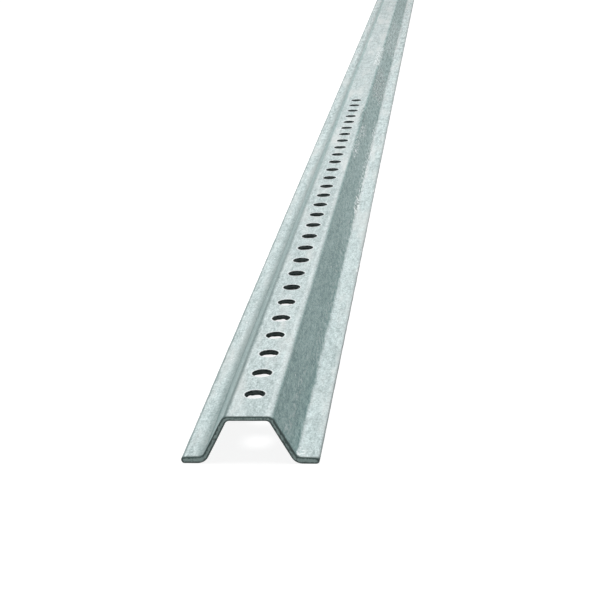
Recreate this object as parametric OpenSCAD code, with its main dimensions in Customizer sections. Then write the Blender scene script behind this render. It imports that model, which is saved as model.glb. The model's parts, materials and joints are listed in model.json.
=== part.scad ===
// Flanged channel sign post: one length of rolled hat section, punched along its web.
// The post lies on its flanges as it comes to rest. X is across it, Y runs along it, Z is up.
// The origin is under the middle of its length, on the ground. The punched end is at -Y.

/* [Post] */
// Length of the post
post_l = 1828.8; // [914.4:25.4:3657.6]
// Height from the soles of the flanges to the face of the web
post_h = 23; // [18:0.5:32]

/* [Web] */
// Width of the web's face, between the lines where its plane meets the outer leg planes
web_w = 22.1; // [19:0.1:30]
// Thickness of the web
web_t = 2.1; // [1.6:0.1:3]
// Outer radius of the bend from the web to a leg
web_bend_r = 3.8; // [1:0.1:4.5]
// Inner radius of the bend from the web to a leg
web_bend_in_r = 2.2; // [0.4:0.1:3]

/* [Legs] */
// Slope of each leg, in degrees from the ground
leg_deg = 62; // [52:1:75]
// Thickness of each leg
leg_t = 2.4; // [1.8:0.05:3.2]

/* [Flanges] */
// Width of each flange, from the line where its top meets the outer leg plane to its edge
flange_w = 9.8; // [7:0.1:20]
// Thickness of each flange at the leg
flange_root_t = 3.4; // [2.6:0.1:4.5]
// Thickness of each flange at its edge
flange_edge_t = 3; // [3:0.1:4.5]
// Radius of the hollow where a flange meets the leg, on top
foot_hollow_r = 2.8; // [0.6:0.1:4]
// Radius of the bend where a flange's sole turns up into the leg
foot_bend_r = 5.6; // [1:0.1:7]
// Radius of the upper corner of a flange's edge
edge_top_r = 1.2; // [0.3:0.1:1.4]
// Radius of the lower corner of a flange's edge
edge_sole_r = 1.5; // [0.3:0.1:1.7]

/* [Holes] */
// Diameter of each punched hole
hole_d = 9.525; // [6:0.025:13]
// Distance from one hole to the next
hole_pitch = 25.4; // [19.05:0.05:50.8]
// Distance from the post's end to the middle of the first hole
hole_first = 25.4; // [12.7:0.1:76.2]
// Number of holes in the row
hole_n = 29; // [1:1:60]

/* [Hidden] */
// Width of a leg's thickness, measured level
leg_t_level = leg_t / sin(leg_deg);
// Corners of the section's right half, in X and Z, before they are rounded, and the
// middles of the web's two faces
web_mid = [0, post_h];
web_top = [web_w / 2, post_h];
foot_top = [web_w / 2 + (post_h - flange_root_t) / tan(leg_deg), flange_root_t];
edge_top = [foot_top.x + flange_w, flange_edge_t];
edge_sole = [edge_top.x, 0];
foot_sole = [web_w / 2 + post_h / tan(leg_deg) - leg_t_level, 0];
web_under = [web_w / 2 + web_t / tan(leg_deg) - leg_t_level, post_h - web_t];
web_under_mid = [0, post_h - web_t];
// How far a cut passes the face that it cuts
cut_over = 1;
// How far an arc passes the faces that it rounds into, so that it crosses them cleanly
arc_over = 0.0005;
$fn = 64;

// The direction from one point to another, in degrees
function heading(from, to) = atan2(to.y - from.y, to.x - from.x);

// The point at one distance and direction from p
function step(p, r, a) = p + r * [cos(a), sin(a)];

// The point where a cut along the line between two points ends, past the second one
function past(from, to) = step(to, cut_over, heading(from, to));

// The waste between corner p and the arc that rounds it. The corner's sides run to the
// points first and last, which go round it anticlockwise
module corner_waste(first, p, last, r) {
    start = heading(p, first);
    turn = (heading(p, last) - start + 360) % 360;
    middle = start + turn / 2;
    touch = r / tan(turn / 2);
    difference() {
        polygon([step(p, -cut_over, middle), step(p, touch, start), step(p, touch, start + turn)]);
        translate(step(p, r / sin(turn / 2), middle)) circle(r = r + arc_over);
    }
}

// Draws a shape and its mirror image across the middle of the post
module both_sides() {
    children();
    mirror([1, 0]) children();
}

// The space beside a leg and above its flange
module side_space() {
    difference() {
        polygon([
            past(foot_top, web_top),
            foot_top,
            past(foot_top, edge_top),
            [edge_top.x + cut_over, post_h + cut_over]
        ]);
        corner_waste(edge_top, foot_top, web_top, foot_hollow_r);
    }
}

// The space under the web, between the legs
module under_space() {
    mouth = past(web_under, foot_sole);
    difference() {
        polygon([mouth, web_under, [-web_under.x, web_under.y], [-mouth.x, mouth.y]]);
        both_sides() corner_waste(web_under_mid, web_under, foot_sole, web_bend_in_r);
    }
}

// The section: a flat bar's outline with the spaces cut out of it and its corners rounded
module section() {
    difference() {
        translate([-edge_top.x, 0]) square([2 * edge_top.x, post_h]);
        under_space();
        both_sides() {
            side_space();
            corner_waste(web_mid, web_top, foot_top, web_bend_r);
            corner_waste(foot_top, edge_top, edge_sole, edge_top_r);
            corner_waste(edge_top, edge_sole, foot_sole, edge_sole_r);
            corner_waste(edge_sole, foot_sole, web_under, foot_bend_r);
        }
    }
}

// The row of punches, through the web along its middle
module punches() {
    for (i = [0 : hole_n - 1])
        translate([0, hole_first + i * hole_pitch - post_l / 2, post_h - web_t - cut_over])
            cylinder(d = hole_d, h = web_t + 2 * cut_over);
}

module post() {
    color([0.74, 0.78, 0.78])
        difference() {
            rotate([90, 0, 0])
                linear_extrude(height = post_l, center = true)
                    section();
            punches();
        }
}

post();
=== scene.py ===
# Looks of the galvanized sign post: its skin, cut ends and punched holes, floor, lights and camera.
import bisect
import json
import math
import random

import bpy
from mathutils import Matrix, Vector, noise


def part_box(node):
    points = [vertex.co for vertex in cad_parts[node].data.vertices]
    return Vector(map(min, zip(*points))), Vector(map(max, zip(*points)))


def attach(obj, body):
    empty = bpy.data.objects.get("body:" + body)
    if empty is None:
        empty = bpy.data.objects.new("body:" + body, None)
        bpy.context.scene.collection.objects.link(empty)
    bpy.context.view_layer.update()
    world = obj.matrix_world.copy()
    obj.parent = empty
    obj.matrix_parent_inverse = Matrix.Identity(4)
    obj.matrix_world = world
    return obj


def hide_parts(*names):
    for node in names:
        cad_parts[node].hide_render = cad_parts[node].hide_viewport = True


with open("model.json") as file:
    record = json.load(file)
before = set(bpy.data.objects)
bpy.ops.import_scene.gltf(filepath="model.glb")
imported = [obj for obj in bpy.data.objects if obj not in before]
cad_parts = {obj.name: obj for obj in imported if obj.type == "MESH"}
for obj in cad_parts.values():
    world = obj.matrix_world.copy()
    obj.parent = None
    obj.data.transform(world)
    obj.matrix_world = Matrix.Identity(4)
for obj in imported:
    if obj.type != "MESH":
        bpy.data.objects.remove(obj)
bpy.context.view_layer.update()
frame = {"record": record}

MM = 0.001

# The post's section, in millimetres. Width, length and height come from the frame
LOW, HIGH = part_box("post")
LENGTH = (HIGH[1] - LOW[1]) / MM
HEIGHT = (HIGH[2] - LOW[2]) / MM
HALF_W = HIGH[0] / MM
NEAR_END = LOW[1] / MM
WEB_W = 22.1
WEB_T = 2.1
WEB_BEND_R = 3.8
WEB_BEND_IN_R = 2.2
LEG_DEG = 62.0
LEG_T = 2.4
FLANGE_ROOT_T = 3.4
FLANGE_EDGE_T = 3.0
FOOT_HOLLOW_R = 2.8
FOOT_BEND_R = 5.6
EDGE_TOP_R = 1.2
EDGE_SOLE_R = 1.5

# The hole row, in millimetres: the rim rolls in on top, and the punch left a burr underneath
HOLE_R = frame["record"]["mounts"][0]["dims"]["hole_r_mm"]
HOLE_PITCH = 25.4
HOLE_FIRST = 25.4
HOLE_COUNT = 29
ROW_START = HOLE_FIRST - HOLE_PITCH / 2
ROW_END = ROW_START + HOLE_COUNT * HOLE_PITCH
ROLL_R = 0.3
BURR_H = 0.7
BURR_W = 0.15
BURR_FOOT_W = 0.45
# The burr's unevenness, as shares of its height: the middle and the swing, and its waves per millimetre
BURR_MIDDLE, BURR_SWING, BURR_WAVES = 0.75, 0.6, 0.5

# The sheared ends, in millimetres: how far the outline is rounded back, over what width, and how
# rough the face is, with the share and the waves per millimetre of each noise in it
END_ROUND = 0.35
END_RIM = 1.1
END_ROUGH = 0.10
END_WAVES = ((1.0, 0.9), (0.4, 2.7))

# The zinc coat's unevenness: height and length of its waves, in millimetres
COAT_WAVES = ((0.07, 13.0), (0.035, 4.5))
EDGE_WAVE = (0.12, 9.0)
# How far the zinc gathers along the edges of the left and the right flange, first at the near end and
# then far on, and between which distances from the near end that changes
EDGE_BEAD = ((0.10, 0.22), (0.10, 0.0))
BEAD_FADE = (100.0, 500.0)

# Divisions of the mesh: of each arc, of the flat of a leg and of a flange, of a hole's cell along and
# across the post, the step past the hole row in millimetres, and where an end's face is divided
ARC_CUTS = {"bend": 7, "hollow": 5, "edge": 5}
LEG_CUTS = 7
FLANGE_CUTS = 5
SIDE_CUTS = 10
CELL_CUTS_X = 10
BLANK_STEP = 5.0
END_CUTS = (0.13, 0.30, 0.5, 0.70, 0.87)
# How far out towards its cell's border the ring round a hole lies, the turns of the rolled rim, and
# the turn from which on it counts as wall
CELL_BLEND = 0.45
ROLL_TURNS = (0, 30, 60, 90)
WALL_TURN = 45

# Camera, fitted to the photograph: place from the foot of the near end's middle, in millimetres, and
# turns in degrees
CAMERA_FROM_END = (91.0, -527.4, 263.4)
CAMERA_YAW = -7.003
CAMERA_PITCH = 19.256
CAMERA_ROLL = 2.79
FOCAL_PX = 1316.9
IMAGE_PX = 600
SENSOR_MM = 36.0
CLIP_START_M = 0.01

# The floor, in metres. It lies just clear of the soles
FLOOR_SIZE = 12.0
FLOOR_DROP = 0.0002
FLOOR_DIFFUSE = 0.25
# How white the floor shows near the post, and over which distances, in millimetres, it turns to white
FLOOR_WHITE = 0.90
FLOOR_FADE = (1200.0, 2600.0)
# A painted shadow on the floor under the channel, in millimetres: how far from an end it turns dark, the
# dark strip's half width and soft border, and how bright it still is
LIT_DEPTH = (219.0, 237.0)
DARK_HALF_W = 24.0
DARK_BORDER = 4.0
DEEP_LIGHT = 0.04

# The world's light from above and from below, between which heights of the direction it changes, and
# how bright the world shows
WORLD_FILL = 0.08
WORLD_BELOW = 0.8
WORLD_TURN = (-0.3, -0.05)
WORLD_SEEN = 1.0
# The lamp, in watts and metres
KEY_WATTS = 76.0
KEY_SIZE = 1.4
KEY_PLACE = (-0.05, -0.55, 2.5)

# The skin's colours
PALE_ZINC = (0.66, 0.76, 0.76, 1)
DARK_ZINC = (0.24, 0.31, 0.31, 1)
# White zinc for the pale marks and the grains, and painted highlight for the bend's lip and the rings round
# the holes
WHITE_ZINC_AND_HIGHLIGHT = (0.88, 0.92, 0.92, 1)
BLUSH_ZINC = (0.60, 0.63, 0.62, 1)
# The legs' colours: partly the coat's own tone, partly painted shade of the sloping legs
LEG_PALE = (0.31, 0.46, 0.45, 1)
LEG_DARK = (0.07, 0.16, 0.155, 1)
# Dark zinc for the dark marks, and painted shade for the lines along the post
PIT_AND_SHADE_ZINC = (0.05, 0.11, 0.105, 1)

# The skin's noises: waves per millimetre across and along the post and from the upper side's layer
# to the underside's, then detail, roughness and twist
NOISES = {
    "grit": ((1.1, 0.50, 1.0), 3.0, 0.8, 0.0),
    "fleck": ((0.50, 0.14, 1.0), 3.0, 0.75, 0.0),
    "cloud": ((0.18, 0.045, 1.0), 4.0, 0.65, 0.6),
    "streak": ((0.40, 0.010, 1.0), 3.0, 0.7, 0.0),
    "drift": ((0.05, 0.006, 1.0), 2.0, 0.6, 0.0),
    "flow": ((0.45, 0.09, 5.0), 2.0, 0.7, 0.0),
    "run": ((0.36, 0.045, 7.0), 2.0, 0.7, 0.0),
    "blush": ((0.08, 0.012, 3.0), 3.0, 0.6, 0.0),
    "dots": ((0.6, 0.16, 1.0), 2.0, 0.6, 0.0),
    "pits": ((0.5, 0.12, 2.0), 2.0, 0.6, 0.0),
}
# The distance between the two layers
UNDER_LAYER = 50.0
# How much of each noise there is in the mottle, in the drawn-out streaks of the flat parts and of the
# legs, in a ragged border and in the height of the bumps
MOTTLE = {"grit": 2.4, "fleck": 1.6, "cloud": 0.9}
STREAKS = {"streak": 0.4, "drift": 0.3}
LEG_STREAKS = {"streak": 0.35, "drift": 0.5}
RAGGED = {"fleck": 2.0, "cloud": 2.0}
BUMPS = {"grit": 1.0, "fleck": 1.2, "cloud": 1.0, "streak": 0.5}
BUMP_MM = 0.22
# The coat gets coarser far from the near end, in two steps: the noise, where it sets in, its strength
COARSER = (("flow", (250.0, 700.0), 1.6), ("run", (700.0, 1150.0), 2.2))
# The blush: which values of its noise it sets in between, and its strength
BLUSH = ((0.45, 0.7), 0.7)
METAL = 0.05
# The tones of the dullest and the palest coat, and how rough these are
TONES = (-0.6, 0.6)
ROUGH = (0.50, 0.36)

# Where the legs' darker coat begins and ends, counted round the section from the web's middle, and
# how soft its border is. The darker coat is partly the coat's own tone and partly painted shade of the
# sloping legs
LEG_FROM = 11.1
LEG_TO = 32.0
LEG_SOFT = 1.0
# The legs' painted shade is deeper at the near end and paler far on, where it also starts higher up
LEG_NEAR = ((0.0, 900.0), -0.13)
LEG_FAR = ((700.0, 1100.0), 0.14)
LEG_RISE = ((100.0, 700.0), 1.0)
# The left leg's coat is paler, a painted reflection on its steep side: the girths between which that
# changes, and how much
LEG_LEFT = ((-8.0, 8.0), 0.14)
# The web is darker past its near end, and its coat coarsens less than the legs'
WEB_DIM = ((100.0, 300.0), -0.10)
WEB_COARSE = 0.35
LEG_COARSE = 1.5
# Lines of painted shade along the post, in the folds at the tops of the legs, in the left hollow and on
# the flange beside it, and along the flange edges: the girth of each one's middle, its half width, and how
# dark it is near and far
SHADE_LINES = (
    (-10.4, 2.1, 0.92, 0.00),
    (-28.5, 3.5, 0.20, 0.10),
    (-30.9, 2.4, 1.00, 0.50),
    (-33.0, 4.5, 0.60, 0.42),
    (-41.6, 1.0, 0.68, 0.60),
    (12.3, 1.8, 0.30, 0.20),
    (41.6, 1.5, 0.00, 0.40),
    (42.8, 0.9, 0.95, 0.30),
)
# How far from the near end a line takes to change, and how much of a ragged border it has
LINE_REACH = 800.0
LINE_WANDER = 0.3
# A painted highlight along the right bend's lip, and where it fades out
LIP_G, LIP_HALF, LIP_HIGHLIGHT = 9.0, 1.8, 0.22
LIP_FADE = (100.0, 900.0)
# A painted highlight ring round each hole's rim: its width, how pale it is, and how softly the rings end
# with the row
RING_W, RING_HIGHLIGHT = 1.3, 0.75
ROW_SOFT = 0.1
# The dull line along the skin at a sheared end: from and to, in millimetres from the end, how dull it
# is, and its ragged border
END_LINE = ((0.7, 1.5), 0.85)
END_RAGGED = {"fleck": 1.5}

# The sheared ends: colours, noises as for the skin, how much of each there is in the rim's border and
# in the bumps, which of its values the rim's border lies between, and the surface
CUT_CORE = (0.36, 0.48, 0.46, 1)
CUT_RIM = (0.05, 0.085, 0.08, 1)
CUT_DRAG = ((2.2, 1.0, 0.5), 4.0, 0.7)
CUT_CLOUD = (0.6, 4.0)
CUT_UNEVEN = (1.2, 1.2)
CUT_BUMPS = (1.0, 0.5)
CUT_BORDER = (0.05, 0.5)
CUT_METAL = 0.2
CUT_ROUGH = 0.5
CUT_BUMP_MM = 0.2
# Painted shade: how much darker they are where they stand on the ground, and between which heights that
# fades
CUT_LOW = ((0.2, 1.4), 0.45)

# The hole walls: colours, noise, which of its values the zinc on them sets in between, and the surface.
# Their dark colour is partly the walls' own and partly painted shade inside the holes
WALL_DARK = (0.024, 0.038, 0.037, 1)
WALL_PALE = (0.24, 0.29, 0.285, 1)
WALL_CLOUD = ((0.5, 0.5, 1.4), 3.0)
WALL_ZINC = (0.4, 0.75)
WALL_SHEEN = 0.2
WALL_ROUGH = 0.5
WALL_BUMP_MM = 0.1
# The torn zone of a punched wall: the depth of its middle, its half height, how pale and how ragged
TORN_DEPTH, TORN_HALF, TORN_PALE, TORN_RAGGED = 1.4, 0.8, 0.8, 1.5


def point(p, r, a):
    """The point at a distance and a direction in degrees from p."""
    return (p[0] + r * math.cos(math.radians(a)), p[1] + r * math.sin(math.radians(a)))


def arc(p, start, end, r, cuts):
    """Points of the arc that rounds corner p, from its touch on the side that leaves p in direction
    start to its touch on the side that leaves in direction end."""
    half = math.radians((end - start) / 2)
    first = point(p, r / math.tan(abs(half)), start)
    last = point(p, r / math.tan(abs(half)), end)
    middle = point(p, r / math.sin(abs(half)), (start + end) / 2)
    a0 = math.degrees(math.atan2(first[1] - middle[1], first[0] - middle[0]))
    a1 = math.degrees(math.atan2(last[1] - middle[1], last[0] - middle[0]))
    turn = (a1 - a0 + 180) % 360 - 180
    return [point(middle, r, a0 + turn * i / cuts) for i in range(cuts + 1)]


def run(a, b, cuts):
    """Points strictly between a and b."""
    return [(a[0] + (b[0] - a[0]) * i / cuts, a[1] + (b[1] - a[1]) * i / cuts) for i in range(1, cuts)]


def half_paths():
    """The right half of the section's upper and under sides, from the web's bend to the flange's edge,
    as two lists of points that face each other."""
    tan = math.tan(math.radians(LEG_DEG))
    level_t = LEG_T / math.sin(math.radians(LEG_DEG))
    web_top = (WEB_W / 2, HEIGHT)
    foot_top = (WEB_W / 2 + (HEIGHT - FLANGE_ROOT_T) / tan, FLANGE_ROOT_T)
    edge_top = (HALF_W, FLANGE_EDGE_T)
    edge_sole = (HALF_W, 0.0)
    foot_sole = (WEB_W / 2 + HEIGHT / tan - level_t, 0.0)
    web_under = (WEB_W / 2 + WEB_T / tan - level_t, HEIGHT - WEB_T)
    slope = math.degrees(math.atan2(edge_top[1] - foot_top[1], edge_top[0] - foot_top[0]))

    bend = arc(web_top, 180, 360 - LEG_DEG, WEB_BEND_R, ARC_CUTS["bend"])
    hollow = arc(foot_top, 180 - LEG_DEG, slope, FOOT_HOLLOW_R, ARC_CUTS["hollow"])
    edge = arc(edge_top, 180 + slope, 270, EDGE_TOP_R, ARC_CUTS["edge"])
    upper = bend + run(bend[-1], hollow[0], LEG_CUTS) + hollow
    upper += run(hollow[-1], edge[0], FLANGE_CUTS) + edge

    bend = arc(web_under, 180, 360 - LEG_DEG, WEB_BEND_IN_R, ARC_CUTS["bend"])
    foot = arc(foot_sole, 180 - LEG_DEG, 0, FOOT_BEND_R, ARC_CUTS["hollow"])
    edge = arc(edge_sole, 180, 90, EDGE_SOLE_R, ARC_CUTS["edge"])
    under = bend + run(bend[-1], foot[0], LEG_CUTS) + foot
    under += run(foot[-1], edge[0], FLANGE_CUTS) + edge
    return upper, under


UPPER, UNDER = half_paths()


def girths():
    """Distance along the upper skin from the web's middle line to each point of the half path."""
    found = [UPPER[0][0]]
    for a, b in zip(UPPER, UPPER[1:]):
        found.append(found[-1] + math.dist(a, b))
    return found


# The girths at which the web's bend begins and ends
GIRTHS = girths()
G_BEND = GIRTHS[0]
G_LEG = GIRTHS[ARC_CUTS["bend"]]

# Rough marks on the coat: girth from and to, distance from the near end from and to, and strength
PALE_MARKS = (
    (5.0, 12.5, 935.0, 1068.0, 0.75),
    (13.0, 33.0, 790.0, 945.0, 0.35),
    (13.0, 32.0, 1085.0, 1340.0, 0.35),
    (21.0, 24.0, -20.0, 100.0, 0.25),
    (11.0, 17.0, 521.0, 568.0, 0.8),
    (13.0, 20.0, 600.0, 632.0, 0.8),
    (28.5, 33.5, 392.0, 455.0, 1.0),
    (29.0, 33.5, 512.0, 538.0, 0.9),
    (27.8, 33.0, 440.0, 700.0, 0.75),
    (26.0, 32.0, 90.0, 380.0, 0.20),
    (-31.0, -12.0, 1050.0, 1300.0, 0.4),
)
DARK_MARKS = (
    (8.5, 14.0, 640.0, 696.0, 0.9),
    (29.0, 33.5, 398.0, 446.0, 0.8),
    (12.5, 30.0, 795.0, 940.0, 0.85),
    (6.5, 12.5, 930.0, 1075.0, 0.45),
    (-42.0, -36.0, 700.0, 760.0, 0.3),
    (-29.0, -20.0, -20.0, 220.0, 0.25),
)
# How far a mark's border strays and how soft it is, across and along the post, and which values of
# their noises the dots of the pale marks and the pits of the dark ones set in between
MARK_STRAY = (8.0, 160.0)
MARK_SOFT = (1.2, 9.0)
DOTS = (0.49, 0.60)
PITS = (0.44, 0.56)

# Grains of zinc: how many, the girth and distance from the near end that they lie in, their half
# width across and along the post, and their height, in millimetres
GRAINS = (
    (150, (5.5, 12.8), (938.0, 1064.0), (0.3, 0.8), (0.4, 1.2), (0.15, 0.4)),
    (70, (13.0, 32.0), (790.0, 926.0), (0.3, 0.8), (0.4, 1.4), (0.12, 0.35)),
    (60, (13.0, 31.0), (1090.0, 1330.0), (0.4, 0.9), (0.5, 2.0), (0.12, 0.35)),
    (14, (29.0, 32.5), (398.0, 446.0), (0.3, 0.6), (0.8, 2.2), (0.12, 0.3)),
    (9, (31.7, 35.6), (1.5, 9.5), (0.7, 1.6), (0.35, 0.6), (0.10, 0.2)),
    (60, (36.0, 41.0), (60.0, 1750.0), (0.3, 0.6), (0.4, 1.0), (0.10, 0.2)),
    (60, (-41.0, -36.0), (60.0, 1750.0), (0.3, 0.6), (0.4, 1.0), (0.10, 0.2)),
    (70, (13.0, 32.0), (20.0, 1800.0), (0.25, 0.5), (0.4, 1.0), (0.08, 0.2)),
    (70, (-32.0, -13.0), (20.0, 1800.0), (0.25, 0.5), (0.4, 1.0), (0.08, 0.2)),
    (14, (41.6, 42.6), (4.0, 1820.0), (0.4, 0.8), (1.5, 5.0), (0.15, 0.35)),
    (14, (-42.6, -41.6), (4.0, 1820.0), (0.4, 0.8), (1.5, 5.0), (0.15, 0.35)),
)
GRAIN_SEED = 7
# A grain's outline: how many corners it has, and between which shares of its half width they lie
GRAIN_SIDES = 7
GRAIN_RAGGED = (0.7, 1.15)
# How far its base is sunk into the skin, the width of its waist and crown as shares of its base's, and
# the waist's height as a share of its own
GRAIN_SUNK = 0.15
GRAIN_WAIST, GRAIN_CROWN = 0.95, 0.5
GRAIN_WAIST_UP = 0.3
# How much of its colour is white
GRAIN_PALE = 0.7

SKIN, CUT, WALL = 0, 1, 2
ZONES = ("girth", "under", "rim", "grain")


class Mesh:
    """Collects corners, faces and the material of each face, in millimetres. Each corner may say how
    far round the section it is (girth), and how much it is under the post, on an end's rim or a grain."""

    def __init__(self):
        self.corners = []
        self.faces = []
        self.slots = []
        self.zones = {name: {} for name in ZONES}

    def corner(self, x, y, z, **zones):
        self.corners.append((x, y, z))
        for name, value in zones.items():
            self.zones[name][len(self.corners) - 1] = value
        return len(self.corners) - 1

    def face(self, ids, slot):
        self.faces.append(ids)
        self.slots.append(slot)

    def strip(self, a, b, slot, closed=False):
        """Quads between two lists of corners of one length."""
        n = len(a)
        for i in range(n if closed else n - 1):
            j = (i + 1) % n
            self.face((a[i], a[j], b[j], b[i]), slot)


def stations():
    """Places along the post, in millimetres from its near end, and which of them begin and end the
    hole row."""
    lead = max(2, round(ROW_START / (HOLE_PITCH / SIDE_CUTS)))
    places = [END_ROUND + (ROW_START - END_ROUND) * i / lead for i in range(lead)]
    for k in range(HOLE_COUNT):
        places += [ROW_START + (k + i / SIDE_CUTS) * HOLE_PITCH for i in range(SIDE_CUTS)]
    blank = max(2, round((LENGTH - ROW_END) / BLANK_STEP))
    end = LENGTH - END_ROUND
    places += [ROW_END + (end - ROW_END) * i / blank for i in range(blank + 1)]
    return places, lead, lead + HOLE_COUNT * SIDE_CUTS


def build_post():
    """The post's mesh: two skins joined at the flange edges, the ends and the hole walls."""
    places, first, last = stations()
    mesh = Mesh()
    up_r = side_rows(mesh, places, UPPER, 1, 0.0)
    up_l = side_rows(mesh, places, UPPER, -1, 0.0)
    un_r = side_rows(mesh, places, UNDER, 1, 1.0)
    un_l = side_rows(mesh, places, UNDER, -1, 1.0)
    kept = [i for i in range(len(places)) if not first < i < last or (i - first) % SIDE_CUTS == 0]
    web_up = {i: web_row(mesh, up_l[i][0], up_r[i][0], 0.0) for i in kept}
    web_un = {i: web_row(mesh, un_l[i][0], un_r[i][0], 1.0) for i in kept}

    for i in range(len(places) - 1):
        mesh.strip(up_r[i], up_r[i + 1], SKIN)
        mesh.strip(up_l[i + 1], up_l[i], SKIN)
        mesh.strip(un_r[i + 1], un_r[i], SKIN)
        mesh.strip(un_l[i], un_l[i + 1], SKIN)
        mesh.face((up_r[i][-1], un_r[i][-1], un_r[i + 1][-1], up_r[i + 1][-1]), SKIN)
        mesh.face((up_l[i][-1], up_l[i + 1][-1], un_l[i + 1][-1], un_l[i][-1]), SKIN)
        if not first <= i < last:
            mesh.strip(web_up[i], web_up[i + 1], SKIN)
            mesh.strip(web_un[i + 1], web_un[i], SKIN)

    for k in range(HOLE_COUNT):
        a, b = first + k * SIDE_CUTS, first + (k + 1) * SIDE_CUTS
        middle = NEAR_END + HOLE_FIRST + k * HOLE_PITCH
        cell(mesh, middle, ring_of(web_up, up_l, up_r, a, b), ring_of(web_un, un_l, un_r, a, b))

    for i, out in ((0, -1), (len(places) - 1, 1)):
        top = list(reversed(up_l[i])) + web_up[i][1:-1] + up_r[i]
        bottom = list(reversed(un_l[i])) + web_un[i][1:-1] + un_r[i]
        cap(mesh, top, bottom, out)
    return mesh


def side_rows(mesh, places, path, side, under):
    """Rows of corners down one side of the section, one row for each place along the post."""
    rows = []
    for y in places:
        row = []
        for (x, z), girth in zip(path, GIRTHS):
            row.append(mesh.corner(side * x, NEAR_END + y, z, girth=side * girth, under=under))
        rows.append(row)
    return rows


def web_row(mesh, left, right, under):
    """A row of corners across the web, between two corners that exist."""
    x0, y, z = mesh.corners[left]
    x1 = mesh.corners[right][0]
    inner = []
    for i in range(1, CELL_CUTS_X):
        t = i / CELL_CUTS_X
        inner.append(mesh.corner(x0 + (x1 - x0) * t, y, z, girth=G_BEND * (2 * t - 1), under=under))
    return [left] + inner + [right]


def cap(mesh, top, bottom, out):
    """Closes one end with a sheared face that is rounded at its outline and a little rough. out is the
    direction along Y that it faces."""
    rows = []
    for a, b in zip(top, bottom):
        pa, pb = Vector(mesh.corners[a]), Vector(mesh.corners[b])
        thick = (pb - pa).length
        row = [a]
        for t in END_CUTS:
            p = pa.lerp(pb, t)
            inside = min(t * thick, (1 - t) * thick, HALF_W - abs(p.x))
            rim = max(0.0, 1 - inside / END_RIM)
            rough = sum(share * noise.noise(p * per_mm) for share, per_mm in END_WAVES)
            p.y += out * (END_ROUND - END_ROUND * rim ** 2 - END_ROUGH * max(0.0, rough))
            row.append(mesh.corner(*p, rim=rim))
        rows.append(row + [b])
        for corner in (a, b):
            mesh.zones["rim"][corner] = 1.0
    for p, q in zip(rows, rows[1:]):
        a, b = (p, q) if out < 0 else (q, p)
        mesh.strip(a, b, CUT)


def ring_of(web, left, right, a, b):
    """The corners round one cell of the hole row, anticlockwise from above, from its near left."""
    side_r = [right[i][0] for i in range(a + 1, b)]
    side_l = [left[i][0] for i in range(b - 1, a, -1)]
    return web[a] + side_r + list(reversed(web[b])) + side_l


def cell(mesh, middle, ring_up, ring_un):
    """One cell of the web with its hole: rings from the cell's border to the rolled rim, down the
    wall, round the burr and out again under the web."""
    n = len(ring_up)

    def ring(r, z, outer=None, burr=0.0, under=0.0):
        """A ring round the hole, drawn out towards the cell's border if that is given as outer."""
        ids = []
        for i in range(n):
            x, y = hole_spot(i, n, r)
            y += middle
            swing = noise.noise(Vector((x, y, 0)) * BURR_WAVES)
            if outer:
                ox, oy, _ = mesh.corners[outer[i]]
                x, y = x + (ox - x) * CELL_BLEND, y + (oy - y) * CELL_BLEND
            drop = burr * (BURR_MIDDLE + BURR_SWING * swing)
            ids.append(mesh.corner(x, y, z - drop, girth=x, under=under))
        return ids

    top, low = HEIGHT, HEIGHT - WEB_T
    rings = [(ring_up, SKIN), (ring(HOLE_R + ROLL_R, top, ring_up), SKIN)]
    for a in ROLL_TURNS:
        c, s = math.cos(math.radians(a)), math.sin(math.radians(a))
        slot = SKIN if a < WALL_TURN else WALL
        rings.append((ring(HOLE_R + ROLL_R * (1 - s), top - ROLL_R * (1 - c)), slot))
    foot = HOLE_R + BURR_FOOT_W
    rings.append((ring(HOLE_R, low), WALL))
    rings.append((ring(HOLE_R, low, burr=BURR_H), WALL))
    rings.append((ring(HOLE_R + BURR_W, low, burr=BURR_H), WALL))
    rings.append((ring(foot, low, under=1.0), WALL))
    rings.append((ring(foot, low, ring_un, under=1.0), SKIN))
    rings.append((ring_un, SKIN))
    for (a, _), (b, slot) in zip(rings, rings[1:]):
        mesh.strip(a, b, slot, closed=True)


def hole_spot(i, n, r):
    """The i-th of n points round a hole. It starts at the cell's near left corner."""
    a = math.radians(225 + 360 * i / n)
    return r * math.cos(a), r * math.sin(a)


def skin_spot(girth):
    """The point of the upper skin at a girth and the direction out of it there, in X and Z."""
    side = math.copysign(1, girth)
    if abs(girth) <= G_BEND:
        return (girth, HEIGHT), (0.0, 1.0)
    i = min(bisect.bisect(GIRTHS, abs(girth)), len(GIRTHS) - 1) - 1
    (ax, az), (bx, bz) = UPPER[i], UPPER[i + 1]
    span = GIRTHS[i + 1] - GIRTHS[i]
    t = (abs(girth) - GIRTHS[i]) / span
    return (side * (ax + (bx - ax) * t), az + (bz - az) * t), (side * (az - bz) / span, (bx - ax) / span)


def build_grains():
    """Grains, flakes and runs of zinc that stand on the skin, each a closed low dome sunk into it."""
    rng = random.Random(GRAIN_SEED)
    mesh = Mesh()
    for count, girth, along, across, length, height in GRAINS:
        for _ in range(count):
            dome(mesh, rng.uniform(*girth), rng.uniform(*along), rng.uniform(*across), rng.uniform(*length),
                 rng.uniform(*height), rng)
    return mesh


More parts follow.
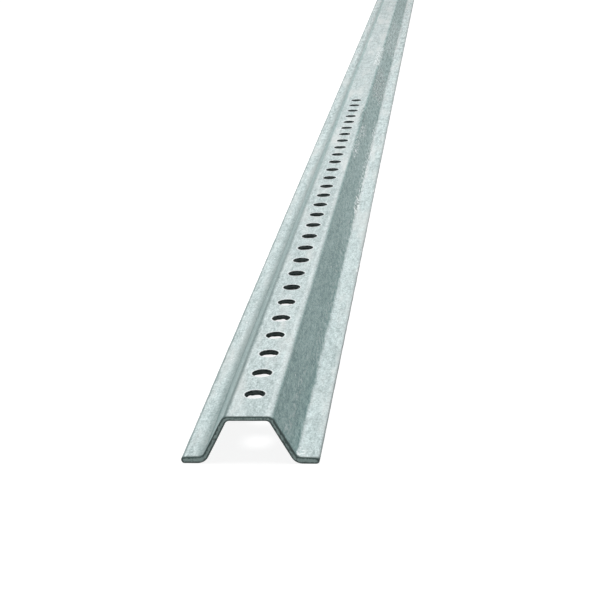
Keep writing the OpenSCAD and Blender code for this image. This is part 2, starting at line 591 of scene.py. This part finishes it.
def dome(mesh, girth, along, across, length, height, rng):
    """A closed dome on the skin: its half width across the post and along it, and its height."""
    (x, z), (nx, nz) = skin_spot(girth)
    shape = [rng.uniform(*GRAIN_RAGGED) for _ in range(GRAIN_SIDES)]

    def ring(size, up):
        ids = []
        for i, r in enumerate(shape):
            a = math.tau * i / GRAIN_SIDES
            u, v = size * r * across * math.cos(a), size * r * length * math.sin(a)
            ids.append(mesh.corner(x + nz * u + nx * up, NEAR_END + along + v, z - nx * u + nz * up,
                                   girth=girth, grain=1.0))
        return ids

    base = ring(1.0, -GRAIN_SUNK)
    waist = ring(GRAIN_WAIST, GRAIN_WAIST_UP * height)
    crown = ring(GRAIN_CROWN, height)
    mesh.face(tuple(reversed(base)), SKIN)
    mesh.strip(base, waist, SKIN, closed=True)
    mesh.strip(waist, crown, SKIN, closed=True)
    mesh.face(tuple(crown), SKIN)


def to_object(mesh, name, uneven=True):
    """Makes a Blender object of a mesh, in metres, with the coat's unevenness."""
    data = bpy.data.meshes.new(name)
    data.from_pydata([(x * MM, y * MM, z * MM) for x, y, z in mesh.corners], [], mesh.faces)
    data.validate()
    for poly, slot in zip(data.polygons, mesh.slots):
        poly.material_index = slot
        poly.use_smooth = True
    for zone, values in mesh.zones.items():
        layer = data.attributes.new(zone, "FLOAT", "POINT")
        for corner, value in values.items():
            layer.data[corner].value = value
    if uneven:
        normals = [v.normal.copy() for v in data.vertices]
        for v, normal in zip(data.vertices, normals):
            v.co += normal * coat(v.co / MM) * MM
    obj = bpy.data.objects.new(name, data)
    bpy.context.scene.collection.objects.link(obj)
    return obj


def coat(p):
    """How far the coat stands out of the plain surface at a point, in millimetres."""
    out = sum(h * noise.noise(p / wave) for h, wave in COAT_WAVES)
    edge = max(0.0, 1 - (HALF_W - abs(p.x)) / EDGE_TOP_R)
    far = min(1.0, max(0.0, (p.y - NEAR_END - BEAD_FADE[0]) / (BEAD_FADE[1] - BEAD_FADE[0])))
    side = p.x > 0
    bead = EDGE_BEAD[0][side] * (1 - far) + EDGE_BEAD[1][side] * far
    return out + edge * (bead + EDGE_WAVE[0] * noise.noise(p / EDGE_WAVE[1]))


class Nodes:
    """Short calls that add nodes to a tree and give back what they put out."""

    def __init__(self, tree):
        self.tree = tree

    def node(self, kind, inputs=(), **settings):
        node = self.tree.nodes.new(kind)
        for key, value in settings.items():
            setattr(node, key, value)
        for key, value in dict(inputs).items():
            self.feed(node.inputs[key], value)
        return node

    def feed(self, socket, value):
        if isinstance(value, bpy.types.NodeSocket):
            self.tree.links.new(value, socket)
        else:
            socket.default_value = value

    def math(self, operation, a, b=0.0, c=0.0, clamp=False):
        inputs = {0: a, 1: b, 2: c}
        return self.node("ShaderNodeMath", inputs, operation=operation, use_clamp=clamp).outputs[0]

    def ramp(self, value, low, high, to_low=0.0, to_high=1.0):
        """value, smoothly mapped from low..high to to_low..to_high."""
        inputs = {"Value": value, "From Min": low, "From Max": high, "To Min": to_low, "To Max": to_high}
        return self.node("ShaderNodeMapRange", inputs, interpolation_type="SMOOTHSTEP").outputs[0]

    def window(self, value, low, high, soft):
        """1 between low and high, falling smoothly to 0 past them."""
        rise = self.ramp(value, low - soft, low + soft)
        fall = self.ramp(value, high - soft, high + soft, 1.0, 0.0)
        return self.math("MULTIPLY", rise, fall)

    def hump(self, value, middle, half):
        """1 at the middle of a stretch, falling smoothly to 0 at its ends."""
        off = self.math("ABSOLUTE", self.math("SUBTRACT", value, middle))
        return self.ramp(off, 0.0, half, 1.0, 0.0)

    def mix(self, amount, a, b):
        node = self.node("ShaderNodeMix", data_type="RGBA")
        sockets = {s.identifier: s for s in node.inputs}
        self.feed(sockets["Factor_Float"], amount)
        self.feed(sockets["A_Color"], a)
        self.feed(sockets["B_Color"], b)
        return next(s for s in node.outputs if s.identifier == "Result_Color")

    def add_up(self, *terms):
        """The sum of (value, weight) pairs, each value counted from its middle of 0.5."""
        total = None
        for value, weight in terms:
            part = self.math("MULTIPLY_ADD", value, weight, -0.5 * weight)
            total = part if total is None else self.math("ADD", total, part)
        return total

    def seen_directly(self):
        """1 for camera, glossy and transmission rays and 0 for the rest."""
        path = self.node("ShaderNodeLightPath").outputs
        most = self.math("MAXIMUM", path["Is Camera Ray"], path["Is Glossy Ray"])
        return self.math("MAXIMUM", most, path["Is Transmission Ray"])


class Shader(Nodes):
    """A new material. place is a point in millimetres that its noises are laid out on."""

    def __init__(self, name):
        self.material = bpy.data.materials.new(name)
        self.material.use_nodes = True
        super().__init__(self.material.node_tree)
        self.bsdf = self.tree.nodes["Principled BSDF"]
        self.output = self.tree.nodes["Material Output"]
        spot = self.node("ShaderNodeTexCoord").outputs["Object"]
        to_mm = self.node("ShaderNodeVectorMath", {0: spot, 1: (1 / MM,) * 3}, operation="MULTIPLY")
        self.place = to_mm.outputs[0]

    def zone(self, name):
        return self.node("ShaderNodeAttribute", attribute_name=name).outputs["Fac"]

    def height(self):
        """Height above the ground, in millimetres."""
        return self.node("ShaderNodeSeparateXYZ", {0: self.place}).outputs["Z"]

    def noise(self, per_mm, detail, rough=0.6, twist=0.0):
        """Cloudy noise around 0.5. per_mm is one scale, or one for each direction."""
        scale = per_mm if isinstance(per_mm, tuple) else (per_mm,) * 3
        spot = self.node("ShaderNodeVectorMath", {0: self.place, 1: scale}, operation="MULTIPLY").outputs[0]
        inputs = {"Vector": spot, "Scale": 1.0, "Detail": detail, "Roughness": rough, "Distortion": twist}
        return self.node("ShaderNodeTexNoise", inputs).outputs["Fac"]

    def finish(self, colour, rough, height, depth_mm):
        self.feed(self.bsdf.inputs["Base Color"], colour)
        self.feed(self.bsdf.inputs["Roughness"], rough)
        bump = self.node("ShaderNodeBump", {"Height": height, "Distance": depth_mm * MM})
        self.feed(self.bsdf.inputs["Normal"], bump.outputs[0])
        return self.material


class Skin(Shader):
    """The skin's material. Its noises are laid out on a sheet of its own: girth, distance along the
    post from the near end, and which side it is."""

    def __init__(self, name):
        super().__init__(name)
        y = self.node("ShaderNodeSeparateXYZ", {0: self.place}).outputs["Y"]
        self.along = self.math("SUBTRACT", y, NEAR_END)
        self.girth = self.zone("girth")
        self.off = self.math("ABSOLUTE", self.girth)
        self.web = self.ramp(self.off, G_BEND, G_LEG, 1.0, 0.0)
        layer = self.math("MULTIPLY", self.zone("under"), UNDER_LAYER)
        sheet = self.node("ShaderNodeCombineXYZ", {0: self.girth, 1: self.along, 2: layer})
        self.place = sheet.outputs[0]
        self.noises = {key: self.noise(*values) for key, values in NOISES.items()}

    def blend(self, weights):
        """The sum of the named noises, each counted from its middle."""
        return self.add_up(*((self.noises[key], weight) for key, weight in weights.items()))

    def coarser(self):
        """What the coat's mottle gains in coarseness far from the near end."""
        total = 0.0
        for key, span, weight in COARSER:
            swing = self.math("SUBTRACT", self.noises[key], 0.5)
            part = self.math("MULTIPLY", swing, self.ramp(self.along, *span, 0.0, weight))
            total = self.math("ADD", total, part)
        return total

    def clump(self, places, key, values):
        """How strongly any of the listed marks covers a point, broken up by a noise."""
        girth = self.math("ADD", self.girth, self.blend({"fleck": MARK_STRAY[0]}))
        along = self.math("ADD", self.along, self.blend({"cloud": MARK_STRAY[1]}))
        total = 0.0
        for from_g, to_g, from_y, to_y, strength in places:
            across = self.window(girth, from_g, to_g, MARK_SOFT[0])
            here = self.math("MULTIPLY", across, self.window(along, from_y, to_y, MARK_SOFT[1]))
            total = self.math("MAXIMUM", total, self.math("MULTIPLY", here, strength))
        return self.math("MULTIPLY", total, self.ramp(self.noises[key], *values))


def galvanized():
    """Dull zinc skin: a mottle drawn out along the post, with the legs' darker coat that is partly painted
    shade, lines of painted shade in the folds, the left hollow and on the edges, painted highlights on the
    right bend's lip and round the holes, rough pale and dark marks, and a dull line at the ends."""
    sh = Skin("galvanized_skin")
    fine, coarse = sh.blend(MOTTLE), sh.coarser()
    tone = flat_tone(sh, fine, coarse)
    skin = sh.mix(sh.math("ADD", tone, 0.5, clamp=True), DARK_ZINC, PALE_ZINC)
    skin = sh.mix(sh.ramp(sh.noises["blush"], *BLUSH[0], 0.0, BLUSH[1]), skin, BLUSH_ZINC)
    skin = add_legs(sh, skin, leg_tone(sh, fine, coarse))
    skin = add_lines(sh, skin)
    # Painted highlight rings round the holes
    ring = sh.math("MULTIPLY", hole_rings(sh), sh.web)
    skin = sh.mix(sh.math("MULTIPLY", ring, RING_HIGHLIGHT), skin, WHITE_ZINC_AND_HIGHLIGHT)
    skin = sh.mix(sh.clump(DARK_MARKS, "pits", PITS), skin, PIT_AND_SHADE_ZINC)
    skin = sh.mix(sh.clump(PALE_MARKS, "dots", DOTS), skin, WHITE_ZINC_AND_HIGHLIGHT)
    skin = sh.mix(sh.math("MULTIPLY", sh.zone("grain"), GRAIN_PALE), skin, WHITE_ZINC_AND_HIGHLIGHT)
    skin = add_end_line(sh, skin)
    sh.bsdf.inputs["Metallic"].default_value = METAL
    return sh.finish(skin, sh.ramp(tone, *TONES, *ROUGH), sh.blend(BUMPS), BUMP_MM)


def flat_tone(sh, fine, coarse):
    """How pale the coat of the web and the flanges is, around 0."""
    share = sh.math("MULTIPLY_ADD", sh.web, WEB_COARSE - 1.0, 1.0)
    tone = sh.math("ADD", fine, sh.math("MULTIPLY", coarse, share))
    tone = sh.math("ADD", tone, sh.blend(STREAKS))
    dim = sh.ramp(sh.along, *WEB_DIM[0], 0.0, WEB_DIM[1])
    return sh.math("ADD", tone, sh.math("MULTIPLY", sh.web, dim))


def leg_tone(sh, fine, coarse):
    """How pale the legs' coat and its painted shade are, around 0."""
    tone = sh.math("MULTIPLY_ADD", coarse, LEG_COARSE, fine)
    tone = sh.math("ADD", tone, sh.blend(LEG_STREAKS))
    tone = sh.math("ADD", tone, sh.ramp(sh.along, *LEG_NEAR[0], LEG_NEAR[1], 0.0))
    tone = sh.math("ADD", tone, sh.ramp(sh.along, *LEG_FAR[0], 0.0, LEG_FAR[1]))
    return sh.math("ADD", tone, sh.ramp(sh.girth, *LEG_LEFT[0], LEG_LEFT[1], 0.0))


def add_legs(sh, skin, tone):
    """The skin with the legs' darker coat on it, partly painted shade, whose border is ragged."""
    rise = sh.ramp(sh.along, *LEG_RISE[0], 0.0, LEG_RISE[1])
    off = sh.math("ADD", sh.math("ADD", sh.off, sh.blend(RAGGED)), rise)
    # The legs' coat is darker partly as painted shade
    leg = sh.mix(sh.math("ADD", tone, 0.5, clamp=True), LEG_DARK, LEG_PALE)
    return sh.mix(sh.window(off, LEG_FROM, LEG_TO, LEG_SOFT), skin, leg)


def add_lines(sh, skin):
    """The skin with the lines of painted shade along the post and the painted highlight on the lip."""
    wander = sh.math("MULTIPLY_ADD", sh.blend(RAGGED), LINE_WANDER, sh.girth)
    lines = 0.0
    for middle, half, near_shade, far_shade in SHADE_LINES:
        shade = sh.ramp(sh.along, 0.0, LINE_REACH, near_shade, far_shade)
        here = sh.math("MULTIPLY", sh.hump(wander, middle, half), shade)
        lines = sh.math("MAXIMUM", lines, here)
    # Painted shade along the folds, the left hollow and the flange edges
    skin = sh.mix(lines, skin, PIT_AND_SHADE_ZINC)
    # Painted highlight on the right bend's lip
    lip = sh.math("MULTIPLY", sh.hump(wander, LIP_G, LIP_HALF), LIP_HIGHLIGHT)
    near = sh.ramp(sh.along, *LIP_FADE, 1.0, 0.0)
    return sh.mix(sh.math("MULTIPLY", lip, near), skin, WHITE_ZINC_AND_HIGHLIGHT)


def hole_rings(sh):
    """1 in a narrow ring round each hole's rim, falling to 0 outside it."""
    from_hole = sh.math("WRAP", sh.math("SUBTRACT", sh.along, HOLE_FIRST), HOLE_PITCH / 2, -HOLE_PITCH / 2)
    spot = sh.node("ShaderNodeCombineXYZ", {0: sh.girth, 1: from_hole}).outputs[0]
    radius = sh.node("ShaderNodeVectorMath", {0: spot}, operation="LENGTH").outputs["Value"]
    in_row = sh.window(sh.along, ROW_START, ROW_END, ROW_SOFT)
    return sh.math("MULTIPLY", sh.ramp(radius, HOLE_R, HOLE_R + RING_W, 1.0, 0.0), in_row)


def add_end_line(sh, skin):
    """The skin with a dull line beside each sheared end."""
    from_end = sh.math("MINIMUM", sh.along, sh.math("SUBTRACT", LENGTH, sh.along))
    ragged = sh.math("ADD", from_end, sh.blend(END_RAGGED))
    return sh.mix(sh.ramp(ragged, *END_LINE[0], END_LINE[1], 0.0), skin, CUT_RIM)


def cut_end():
    """The sheared ends: steel with drag lines through the thickness, darker at the outline, and with
    painted shade where they stand on the ground.
    """
    sh = Shader("cut_end")
    parts = (sh.noise(*CUT_DRAG), sh.noise(*CUT_CLOUD))
    uneven = sh.add_up(*zip(parts, CUT_UNEVEN))
    low = sh.ramp(sh.height(), *CUT_LOW[0], CUT_LOW[1], 0.0)
    rim = sh.ramp(sh.math("ADD", sh.math("ADD", sh.zone("rim"), uneven), low), *CUT_BORDER)
    sh.bsdf.inputs["Metallic"].default_value = CUT_METAL
    bumps = sh.add_up(*zip(parts, CUT_BUMPS))
    return sh.finish(sh.mix(rim, CUT_CORE, CUT_RIM), CUT_ROUGH, bumps, CUT_BUMP_MM)


def hole_wall():
    """The punched walls of the holes, dark partly of their own and partly as painted shade, with a little
    pale zinc and a paler torn zone.
    """
    sh = Shader("hole_wall")
    cloud = sh.noise(*WALL_CLOUD)
    sh.bsdf.inputs["Specular IOR Level"].default_value = WALL_SHEEN
    depth = sh.math("ADD", sh.math("SUBTRACT", HEIGHT, sh.height()), sh.add_up((cloud, TORN_RAGGED)))
    torn = sh.math("MULTIPLY", sh.hump(depth, TORN_DEPTH, TORN_HALF), TORN_PALE)
    pale = sh.math("MAXIMUM", torn, sh.ramp(cloud, *WALL_ZINC))
    return sh.finish(sh.mix(pale, WALL_DARK, WALL_PALE), WALL_ROUGH, cloud, WALL_BUMP_MM)


def floor():
    """A pale floor that shows white to the camera and in reflections, and keeps the shadow. Deep inside
    the channel it has a painted shadow. From below it is clear."""
    bpy.ops.mesh.primitive_plane_add(size=FLOOR_SIZE, location=(0, 0, -FLOOR_DROP))
    obj = bpy.context.object
    obj.name = "floor"
    sh = Shader("floor")
    sh.tree.nodes.remove(sh.bsdf)
    away = sh.node("ShaderNodeVectorMath", {0: sh.place}, operation="LENGTH").outputs["Value"]
    white = sh.math("MULTIPLY", sh.seen_directly(), sh.ramp(away, *FLOOR_FADE, FLOOR_WHITE, 1.0))
    glow = sh.node("ShaderNodeEmission", {"Strength": sh.math("MULTIPLY", white, painted_floor_light(sh))})
    diffuse = sh.node("ShaderNodeBsdfDiffuse", {"Color": (FLOOR_DIFFUSE,) * 3 + (1,)})
    both = sh.node("ShaderNodeAddShader", {0: diffuse.outputs[0], 1: glow.outputs[0]})
    clear = sh.node("ShaderNodeBsdfTransparent")
    behind = sh.node("ShaderNodeNewGeometry").outputs["Backfacing"]
    sided = sh.node("ShaderNodeMixShader", {0: behind, 1: both.outputs[0], 2: clear.outputs[0]})
    sh.feed(sh.output.inputs["Surface"], sided.outputs[0])
    obj.data.materials.append(sh.material)


def painted_floor_light(sh):
    """How much painted light the floor shows: all of it, but little deep inside the channel, where it is a
    painted shadow.
    """
    spot = sh.node("ShaderNodeSeparateXYZ", {0: sh.place}).outputs
    from_end = sh.math("SUBTRACT", LENGTH / 2, sh.math("ABSOLUTE", spot["Y"]))
    deep = sh.ramp(from_end, *LIT_DEPTH, 0.0, 1.0 - DEEP_LIGHT)
    off = sh.math("ABSOLUTE", spot["X"])
    covered = sh.ramp(off, DARK_HALF_W - DARK_BORDER, DARK_HALF_W, 1.0, 0.0)
    return sh.math("SUBTRACT", 1.0, sh.math("MULTIPLY", deep, covered))


def light():
    """One large soft lamp above, a dim fill, and light from below, which reaches the post only where
    the floor is taken away."""
    data = bpy.data.lights.new("key", "AREA")
    data.shape = "SQUARE"
    data.size = KEY_SIZE
    data.energy = KEY_WATTS
    lamp = bpy.data.objects.new("key", data)
    lamp.location = KEY_PLACE
    lamp.rotation_euler = (-Vector(KEY_PLACE)).to_track_quat("-Z", "Y").to_euler()
    bpy.context.scene.collection.objects.link(lamp)

    world = bpy.data.worlds.new("studio")
    bpy.context.scene.world = world
    world.use_nodes = True
    sky = Nodes(world.node_tree)
    back = sky.tree.nodes["Background"]
    back.inputs["Color"].default_value = (1, 1, 1, 1)
    way = sky.node("ShaderNodeTexCoord").outputs["Generated"]
    height = sky.node("ShaderNodeSeparateXYZ", {0: way}).outputs["Z"]
    fill = sky.ramp(height, *WORLD_TURN, WORLD_BELOW, WORLD_FILL)
    seen = sky.seen_directly()
    unseen = sky.math("MULTIPLY", sky.math("SUBTRACT", 1.0, seen), fill)
    sky.feed(back.inputs["Strength"], sky.math("MULTIPLY_ADD", seen, WORLD_SEEN, unseen))


def camera():
    """The photograph's camera."""
    data = bpy.data.cameras.new("camera")
    data.sensor_fit = "HORIZONTAL"
    data.sensor_width = SENSOR_MM
    data.lens = FOCAL_PX / IMAGE_PX * SENSOR_MM
    data.clip_start = CLIP_START_M
    obj = bpy.data.objects.new("camera", data)
    x, y, z = CAMERA_FROM_END
    place = Matrix.Translation(Vector((x, NEAR_END + y, z)) * MM)
    heading = Matrix.Rotation(math.radians(-CAMERA_YAW), 4, "Z")
    pitch = Matrix.Rotation(math.radians(90 - CAMERA_PITCH), 4, "X")
    roll = Matrix.Rotation(math.radians(-CAMERA_ROLL), 4, "Z")
    obj.matrix_world = place @ heading @ pitch @ roll
    bpy.context.scene.collection.objects.link(obj)
    bpy.context.scene.camera = obj


post = to_object(build_post(), "galvanized_post")
grains = to_object(build_grains(), "zinc_grains", uneven=False)
zinc = galvanized()
for finish in (zinc, cut_end(), hole_wall()):
    post.data.materials.append(finish)
grains.data.materials.append(zinc)
for piece in (post, grains):
    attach(piece, "root")
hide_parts("post")
floor()
light()
camera()
bpy.context.scene.view_settings.view_transform = "Standard"
